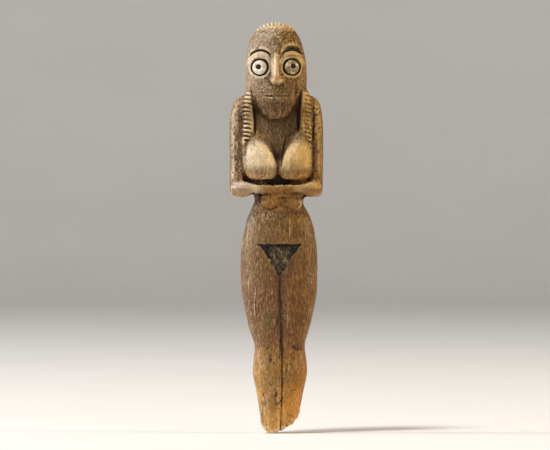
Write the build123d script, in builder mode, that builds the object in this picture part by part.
"""A small doll carved from one piece of bone, with inlaid eyes and dark paste pressed into its cuts.

Millimetres. +Z is up, from the broken feet to the crown. The face looks along -Y, and +X is the viewer's right.
The origin is under the middle of the doll: the centre of its width and depth, at its lowest point.

Every soft form is a loft through superellipse stations. A station of an upright form is
(height, centre across, centre in depth, half width, half depth, squareness), and a squareness of 2 is an ellipse.
A cut of even depth is a front-on outline pushed back as far as a copy of the form that stands further back.
"""

import os
from math import cos, pi, sin

from build123d import *

# The back is rubbed flat on this plane, where the doll lies.
REST_Y = 7.9

SECTION_POINTS = 20
STATION_STEP = 2.5
# Longer than any form is deep, for outlines that are pushed through one.
REACH = 12.0

# Cuts that hold paste or an inlay, and how far below the bone's surface the paste stops.
CUT_DEPTH = 1.0
PASTE_BELOW = 0.3

# Eyes: a bone disc with a round pupil, in a round pocket with paste round the disc. Centres are (across, height).
EYE_CENTRES = {"left": (-4.9, 106.45), "right": (4.55, 106.5)}
PUPIL_CENTRES = {"left": (-5.15, 106.6), "right": (4.9, 106.8)}
POCKET_RADIUS = 2.8
DISC_RADIUS = 2.2
PUPIL_RADIUS = 0.75

# Brows: centre of the arc, its radius, where it starts and how far it goes, anticlockwise from +X.
BROW_ARCS = {
    "left": ((-4.65, 107.5), 3.9, 42.0, 95.0),
    "right": ((4.6, 107.4), 4.25, 46.0, 89.0),
}
BROW_WIDTH = 0.6

MOUTH_CENTRE = (0.3, 98.1)
MOUTH_WIDTH = 7.2
MOUTH_HEIGHT = 0.4

# Locks of hair in front of the shoulders, notched across like a twisted braid.
LOCK_X = {"left": -8.1, "right": 8.7}
LOCK_PLANE_Y = -3.0
NOTCHES = 11
NOTCH_PITCH = 1.2
NOTCH_MIDDLE = 91.2
NOTCH_WIDTH = 2.0
NOTCH_HEIGHT = 0.4
NOTCH_DEPTH = 0.7

# Carved triangle under the belly: middle and half of its top edge, the height of that edge and of its tip.
TRIANGLE_X = 1.0
TRIANGLE_HALF = 6.2
TRIANGLE_TOP = 55.1
TRIANGLE_TIP = 45.3
TRIANGLE_DEPTH = 0.8

# The groove between the legs, as (across, height) down the front. The one behind is straight.
LEG_GROOVE = [(0.8, 46.0), (1.3, 38.0), (1.8, 27.0), (2.1, 19.0), (1.5, 11.0), (0.9, -3.0)]
BACK_GROOVE = [(0.9, 54.0), (0.9, -3.0)]
GROOVE_HALF = 0.35
GROOVE_DEPTH = 0.9

# Forms of the head.
HEAD = [
    (90.0, 0.0, 3.0, 7.6, 3.4, 2.6),
    (93.0, -0.1, 2.2, 8.3, 4.5, 2.7),
    (96.0, -0.1, 1.2, 8.8, 5.8, 2.8),
    (101.0, -0.1, 0.8, 9.0, 6.9, 2.8),
    (106.0, -0.1, 0.75, 8.9, 7.2, 2.7),
    (110.0, -0.2, 0.7, 8.5, 7.1, 2.6),
    (113.5, -0.3, 0.7, 7.7, 6.4, 2.4),
    (116.2, -0.3, 0.7, 6.6, 5.2, 2.2),
    (118.2, -0.3, 0.7, 4.6, 3.5, 2.0),
    (119.4, -0.2, 0.7, 2.0, 1.5, 2.0),
]
JAW = [
    (91.6, -0.2, -3.8, 2.0, 1.2, 2.0),
    (92.3, -0.2, -3.6, 3.5, 2.1, 2.0),
    (93.6, -0.1, -3.3, 4.7, 2.8, 2.1),
    (95.4, -0.1, -2.9, 5.8, 3.4, 2.2),
    (98.0, 0.0, -2.3, 6.6, 4.1, 2.4),
    (102.0, -0.1, -1.9, 7.1, 4.5, 2.5),
    (105.0, -0.1, -1.6, 7.3, 4.5, 2.5),
]
HAIR_BACK = [
    (82.4, 0.0, 4.6, 7.6, 3.4, 2.6),
    (84.0, 0.0, 3.4, 8.8, 5.0, 2.9),
    (90.0, 0.0, 2.9, 9.2, 5.9, 3.0),
    (97.0, -0.1, 2.6, 9.1, 6.0, 3.0),
    (101.0, -0.1, 2.2, 8.8, 5.8, 2.9),
    (105.0, -0.1, 1.6, 8.0, 5.4, 2.8),
]
# Across is measured outwards from the lock's own line.
LOCK = [
    (83.8, 0.5, -3.1, 1.2, 1.4, 2.2),
    (85.2, 0.3, -3.0, 1.7, 2.1, 2.4),
    (91.0, 0.0, -2.8, 1.8, 2.5, 2.6),
    (97.0, -0.2, -2.5, 1.7, 2.5, 2.4),
    (99.5, -0.6, -2.0, 1.2, 2.2, 2.2),
    (102.0, -1.4, -0.8, 0.7, 1.6, 2.0),
]
# The nose: height, middle across, half width at the cheeks, half width of the ridge, how far back the ridge is.
NOSE = [
    (101.3, 0.05, 1.5, 0.9, -6.9),
    (102.3, 0.0, 2.1, 0.8, -7.9),
    (104.0, 0.0, 1.7, 0.45, -7.8),
    (108.0, -0.1, 1.3, 0.35, -7.2),
    (112.4, -0.2, 1.1, 0.5, -6.2),
]
NOSE_SIDE_Y = -6.0
NOSE_ROOT_Y = -4.0
# Hair ridges over the crown, spread round a circle (middle across, middle height) over this many degrees each way.
RIDGES = 11
RIDGE_SPREAD = 38.0
RIDGE_CIRCLE = (-0.2, 110.9, 8.4)
RIDGE_SIZE = (0.42, 2.0, 0.7)

# Forms of the trunk. The right arm mirrors the left.
TORSO = [
    (63.0, 0.7, 0.0, 7.8, 4.7, 2.3),
    (68.0, 0.8, 0.4, 7.1, 4.2, 2.3),
    (72.0, 0.5, 1.1, 8.0, 3.8, 2.4),
    (76.0, 0.2, 1.3, 9.2, 4.1, 2.5),
    (84.0, 0.0, 1.1, 9.9, 4.9, 2.6),
    (92.0, 0.0, 1.2, 10.3, 4.8, 2.6),
    (96.0, 0.0, 1.5, 9.4, 4.2, 2.4),
    (98.2, 0.0, 1.8, 7.0, 3.2, 2.2),
]
ARM = [
    (68.9, 10.5, 0.2, 2.0, 4.2, 2.8),
    (71.0, 10.9, 0.2, 2.6, 4.8, 3.0),
    (80.0, 11.15, 0.2, 2.5, 4.8, 3.0),
    (87.0, 11.15, 0.3, 2.45, 4.7, 2.8),
    (92.5, 10.9, 0.5, 2.5, 4.4, 2.5),
    (95.6, 10.4, 0.7, 2.4, 3.9, 2.3),
    (97.4, 9.9, 0.9, 1.9, 3.0, 2.1),
    (98.3, 9.5, 1.0, 1.0, 1.9, 2.0),
]
# Across is measured outwards from these middles.
BREAST_X = {"left": -4.25, "right": 5.3}
BREAST = [
    (73.9, 0.0, -4.2, 2.9, 1.6, 2.0),
    (75.0, 0.0, -4.1, 4.3, 2.7, 2.1),
    (77.0, 0.0, -3.9, 4.95, 3.6, 2.1),
    (79.5, 0.3, -3.7, 4.7, 3.9, 2.1),
    (82.0, 0.9, -3.5, 4.1, 3.5, 2.1),
    (84.5, 1.6, -3.1, 3.4, 2.7, 2.1),
    (87.5, 2.6, -2.6, 2.5, 1.9, 2.0),
    (90.0, 3.2, -2.2, 1.8, 1.4, 2.0),
]
# Forearms, from elbow to elbow: (across, centre in depth, centre height, half depth, half height, squareness).
FOREARMS = [
    (-13.2, -1.6, 71.1, 2.6, 1.6, 2.4),
    (-12.2, -2.5, 71.1, 3.5, 2.15, 3.0),
    (-9.5, -2.9, 71.1, 3.7, 2.2, 3.2),
    (-6.5, -3.2, 71.2, 3.4, 1.35, 3.2),
    (0.6, -3.3, 71.2, 3.3, 1.2, 3.4),
    (7.4, -3.2, 71.3, 3.4, 1.4, 3.2),
    (9.8, -2.9, 71.2, 3.7, 2.3, 3.2),
    (12.3, -2.5, 71.2, 3.5, 2.3, 3.0),
    (13.3, -1.6, 71.2, 2.6, 1.6, 2.4),
]
# Hands, hanging below the wrists: centre, then half sizes.
HANDS = [((-1.7, -3.7, 67.7), (3.0, 1.8, 2.7)), ((4.9, -3.7, 67.5), (2.6, 1.8, 2.9))]

# Hips and legs, down to below the break.
LEGS = [
    (-2.0, 0.9, 0.2, 4.8, 3.4, 2.5),
    (4.4, 0.9, 0.2, 5.5, 3.9, 2.4),
    (11.4, 1.0, 0.3, 6.7, 4.6, 2.4),
    (18.4, 1.0, 0.4, 7.9, 5.3, 2.4),
    (25.6, 0.95, 0.0, 7.35, 4.8, 2.4),
    (29.5, 0.8, 0.0, 8.5, 5.2, 2.3),
    (34.7, 0.85, 0.1, 9.8, 5.9, 2.3),
    (41.0, 0.85, 0.4, 10.9, 6.7, 2.3),
    (47.0, 0.8, 0.9, 11.2, 7.3, 2.2),
    (53.0, 0.8, 1.0, 11.1, 7.5, 2.2),
    (58.0, 0.85, 0.5, 10.4, 6.8, 2.2),
    (62.0, 0.8, 0.0, 9.5, 5.8, 2.2),
    (65.0, 0.7, 0.1, 8.2, 4.9, 2.2),
    (67.5, 0.7, 0.4, 7.0, 4.2, 2.2),
]
# The broken end, as (across, height) from side to side, and a height that is below all of it.
BREAK_EDGE = [(-6.5, 5.2), (-4.4, 2.8), (-3.4, 0.9), (-1.9, 0.0), (1.6, 0.9), (5.1, 3.2), (6.8, 5.8), (9.0, 8.0)]
BELOW = -5.0


def monotone_slope(below, here, above, column):
    """Slope of one measure at a station, with no overshoot: the harmonic mean of the slopes on either side."""
    lower = (here[column] - below[column]) / (here[0] - below[0])
    upper = (above[column] - here[column]) / (above[0] - here[0])
    return 0.0 if lower * upper <= 0 else 2 * lower * upper / (lower + upper)


def end_slope(first, second, column):
    return (second[column] - first[column]) / (second[0] - first[0])


def even_stations(stations):
    """The same form at even steps, because a loft through uneven ones swings wide between them."""
    slopes = []
    for i, here in enumerate(stations):
        if i == 0:
            slopes.append([end_slope(here, stations[1], column) for column in range(1, 6)])
        elif i == len(stations) - 1:
            slopes.append([end_slope(stations[i - 1], here, column) for column in range(1, 6)])
        else:
            neighbours = (stations[i - 1], here, stations[i + 1])
            slopes.append([monotone_slope(*neighbours, column) for column in range(1, 6)])
    start, end = stations[0][0], stations[-1][0]
    steps = max(4, round((end - start) / STATION_STEP))
    evened = []
    for step in range(steps + 1):
        place = start + (end - start) * step / steps
        i = max(k for k in range(len(stations) - 1) if stations[k][0] <= place)
        low, high = stations[i], stations[i + 1]
        span = high[0] - low[0]
        t = (place - low[0]) / span
        rise = t * t * (3 - 2 * t)
        station = [place]
        for column in range(1, 6):
            bend_low = t * (1 - t) ** 2 * span * slopes[i][column - 1]
            bend_high = t * t * (t - 1) * span * slopes[i + 1][column - 1]
            station.append((1 - rise) * low[column] + rise * high[column] + bend_low + bend_high)
        evened.append(station)
    return evened


def superellipse(centre_x, centre_y, half_x, half_y, squareness):
    """Points round a superellipse, for a closed spline."""
    points = []
    for i in range(SECTION_POINTS):
        c, s = cos(2 * pi * i / SECTION_POINTS), sin(2 * pi * i / SECTION_POINTS)
        reach = (abs(c) ** squareness + abs(s) ** squareness) ** (-1 / squareness)
        points.append((centre_x + half_x * c * reach, centre_y + half_y * s * reach))
    return points


def section(plane, outline):
    """One closed spline face on a plane. Even parameters give every section the same knots, for a light loft."""
    points = [plane.from_local_coords(Vector(x, y)) for x, y in outline]
    parameters = [i / len(outline) for i in range(len(outline) + 1)]
    return Face(Wire([Edge.make_spline(points, periodic=True, parameters=parameters)]))


def loft_up(stations, across=0.0, side=1):
    """Lofts an upright form. side=-1 mirrors it before it moves across."""
    sections = []
    for height, x, y, half_x, half_y, squareness in even_stations(stations):
        outline = superellipse(across + side * x, y, half_x, half_y, squareness)
        sections.append(section(Plane.XY.offset(height), outline))
    loft(sections)


def loft_across(stations):
    """Lofts a form that runs from side to side."""
    sections = []
    for x, y, z, half_y, half_z, squareness in even_stations(stations):
        sections.append(section(Plane.YZ.offset(x), superellipse(y, z, half_y, half_z, squareness)))
    loft(sections)


def ellipsoid(centre, half_sizes):
    """A ball stretched to three half sizes."""
    ball = scale(Solid.make_sphere(1.0), by=half_sizes, mode=Mode.PRIVATE)
    with Locations(centre):
        add(ball)


def set_back(form, depth):
    """A copy of a form that stands further back."""
    with BuildPart() as copy:
        with Locations((0, depth, 0)):
            add(form)
    return copy.part


def pushed_in(outline, form, depth, amount=REACH):
    """The cut that an outline makes in the front of a form. Negative depth and amount cut it from behind."""
    with BuildPart() as cut:
        extrude(outline, amount=amount)
        add(set_back(form, depth), mode=Mode.SUBTRACT)
    return cut.part


def filling(cut, form, below):
    """What fills a cut from its floor to this far below the form's surface."""
    with BuildPart() as fill:
        add(cut)
        add(set_back(form, below), mode=Mode.INTERSECT)
    return fill.part


def circle_at(centre, radius, hole_centre=None, hole_radius=0.0):
    """A front-on circle, with a hole if one is given."""
    with BuildSketch(Plane.XZ) as outline:
        with Locations(centre):
            Circle(radius)
        if hole_centre:
            with Locations(hole_centre):
                Circle(hole_radius, mode=Mode.SUBTRACT)
    return outline.sketch


def brow_outline(side_name):
    centre, radius, start, sweep_angle = BROW_ARCS[side_name]
    with BuildSketch(Plane.XZ) as outline:
        with BuildLine():
            CenterArc(centre, radius, start, sweep_angle)
            offset(amount=BROW_WIDTH / 2)
        make_face()
    return outline.sketch


def notch_outlines(side_name):
    with BuildSketch(Plane.XZ.offset(-LOCK_PLANE_Y)) as outline:
        with Locations((LOCK_X[side_name], NOTCH_MIDDLE)):
            with GridLocations(0, NOTCH_PITCH, 1, NOTCHES):
                SlotOverall(NOTCH_WIDTH, NOTCH_HEIGHT)
    return outline.sketch


def groove_outline(line):
    """A narrow band along a line."""
    left = [(x - GROOVE_HALF, z) for x, z in line]
    right = [(x + GROOVE_HALF, z) for x, z in line]
    with BuildSketch(Plane.XZ) as outline:
        with BuildLine():
            Polyline(*left, *reversed(right), close=True)
        make_face()
    return outline.sketch


def write(piece, name):
    piece.label = name
    export_step(piece, f"parts/{name}.step")


SIGN = {"left": -1, "right": 1}
SIDES = ("left", "right")

os.makedirs("parts", exist_ok=True)

# The doll before any cut: face, hair, trunk, arms and legs.
with BuildPart() as face:
    for form in (HEAD, JAW):
        loft_up(form)

with BuildPart() as hair_back:
    loft_up(HAIR_BACK)

locks = {}
for side in SIDES:
    with BuildPart() as lock:
        loft_up(LOCK, across=LOCK_X[side], side=SIGN[side])
    locks[side] = lock.part

with BuildPart() as nose:
    nose_sections = []
    for height, middle, half_side, half_ridge, ridge_y in NOSE:
        half_outline = [(half_ridge, ridge_y), (half_side, NOSE_SIDE_Y), (half_side, NOSE_ROOT_Y)]
        nose_outline = [(middle + x, y) for x, y in half_outline]
        nose_outline += [(middle - x, y) for x, y in reversed(half_outline)]
        with BuildSketch(Plane.XY.offset(height)) as nose_section:
            Polygon(*nose_outline, align=None)
        nose_sections.append(nose_section.sketch)
    loft(nose_sections, ruled=True)

with BuildPart() as crown_ridges:
    middle_x, middle_z, circle_radius = RIDGE_CIRCLE
    for ridge in range(RIDGES):
        angle = (2 * ridge / (RIDGES - 1) - 1) * RIDGE_SPREAD * pi / 180
        ridge_x = middle_x + circle_radius * sin(angle)
        ridge_z = middle_z + circle_radius * cos(angle)
        ellipsoid((ridge_x, 0.0, ridge_z), RIDGE_SIZE)

with BuildPart() as trunk:
    loft_up(TORSO)
    for side in SIDES:
        loft_up(ARM, side=SIGN[side])
        loft_up(BREAST, across=BREAST_X[side], side=SIGN[side])
    loft_across(FOREARMS)
    for hand_centre, hand_half_sizes in HANDS:
        ellipsoid(hand_centre, hand_half_sizes)

with BuildPart() as legs:
    loft_up(LEGS)

# Eyes, brows and mouth are cut into the face.
cuts = []
for side in SIDES:
    eye, pupil = EYE_CENTRES[side], PUPIL_CENTRES[side]
    cuts.append(pushed_in(circle_at(eye, POCKET_RADIUS), face.part, CUT_DEPTH))
    disc = pushed_in(circle_at(eye, DISC_RADIUS, pupil, PUPIL_RADIUS), face.part, CUT_DEPTH)
    write(filling(disc, face.part, 0.0), f"eye_disc_{side}")
    plug = pushed_in(circle_at(pupil, PUPIL_RADIUS), face.part, CUT_DEPTH)
    write(filling(plug, face.part, PASTE_BELOW), f"pupil_{side}")
    ring = pushed_in(circle_at(eye, POCKET_RADIUS, eye, DISC_RADIUS), face.part, CUT_DEPTH)
    write(filling(ring, face.part, PASTE_BELOW), f"eye_ring_fill_{side}")
    brow = pushed_in(brow_outline(side), face.part, CUT_DEPTH)
    cuts.append(brow)
    write(filling(brow, face.part, PASTE_BELOW), f"brow_fill_{side}")

with BuildSketch(Plane.XZ) as mouth_outline:
    with Locations(MOUTH_CENTRE):
        SlotOverall(MOUTH_WIDTH, MOUTH_HEIGHT)
mouth = pushed_in(mouth_outline.sketch, face.part, CUT_DEPTH)
cuts.append(mouth)
write(filling(mouth, face.part, PASTE_BELOW), "mouth_fill")

# Notches across the two front locks.
for side in SIDES:
    notches = pushed_in(notch_outlines(side), locks[side], NOTCH_DEPTH)
    cuts.append(notches)
    write(filling(notches, locks[side], PASTE_BELOW), f"lock_notch_fill_{side}")

# The triangle under the belly, and the grooves that part the legs.
with BuildSketch(Plane.XZ) as triangle_outline:
    corners = [
        (TRIANGLE_X - TRIANGLE_HALF, TRIANGLE_TOP),
        (TRIANGLE_X, TRIANGLE_TIP),
        (TRIANGLE_X + TRIANGLE_HALF, TRIANGLE_TOP),
    ]
    Polygon(*corners, align=None)
triangle = pushed_in(triangle_outline.sketch, legs.part, TRIANGLE_DEPTH)
write(filling(triangle, legs.part, PASTE_BELOW), "triangle_fill")
cuts.append(triangle)
cuts.append(pushed_in(groove_outline(LEG_GROOVE), legs.part, GROOVE_DEPTH))
cuts.append(pushed_in(groove_outline(BACK_GROOVE), legs.part, -GROOVE_DEPTH, amount=-REACH))

with BuildPart() as carved_figure:
    for form in (face, hair_back, nose, crown_ridges, trunk, legs):
        add(form.part)
    for side in SIDES:
        add(locks[side])
    for cut in cuts:
        add(cut, mode=Mode.SUBTRACT)
    # The end where the feet have broken away.
    with BuildSketch(Plane.XZ):
        with BuildLine():
            Polyline(*BREAK_EDGE, (BREAK_EDGE[-1][0], BELOW), (BREAK_EDGE[0][0], BELOW), close=True)
        make_face()
    extrude(amount=REACH, both=True, mode=Mode.SUBTRACT)
    # The back is rubbed flat.
    split(bisect_by=Plane.XZ.offset(-REST_Y), keep=Keep.TOP)
write(carved_figure.part, "carved_figure")
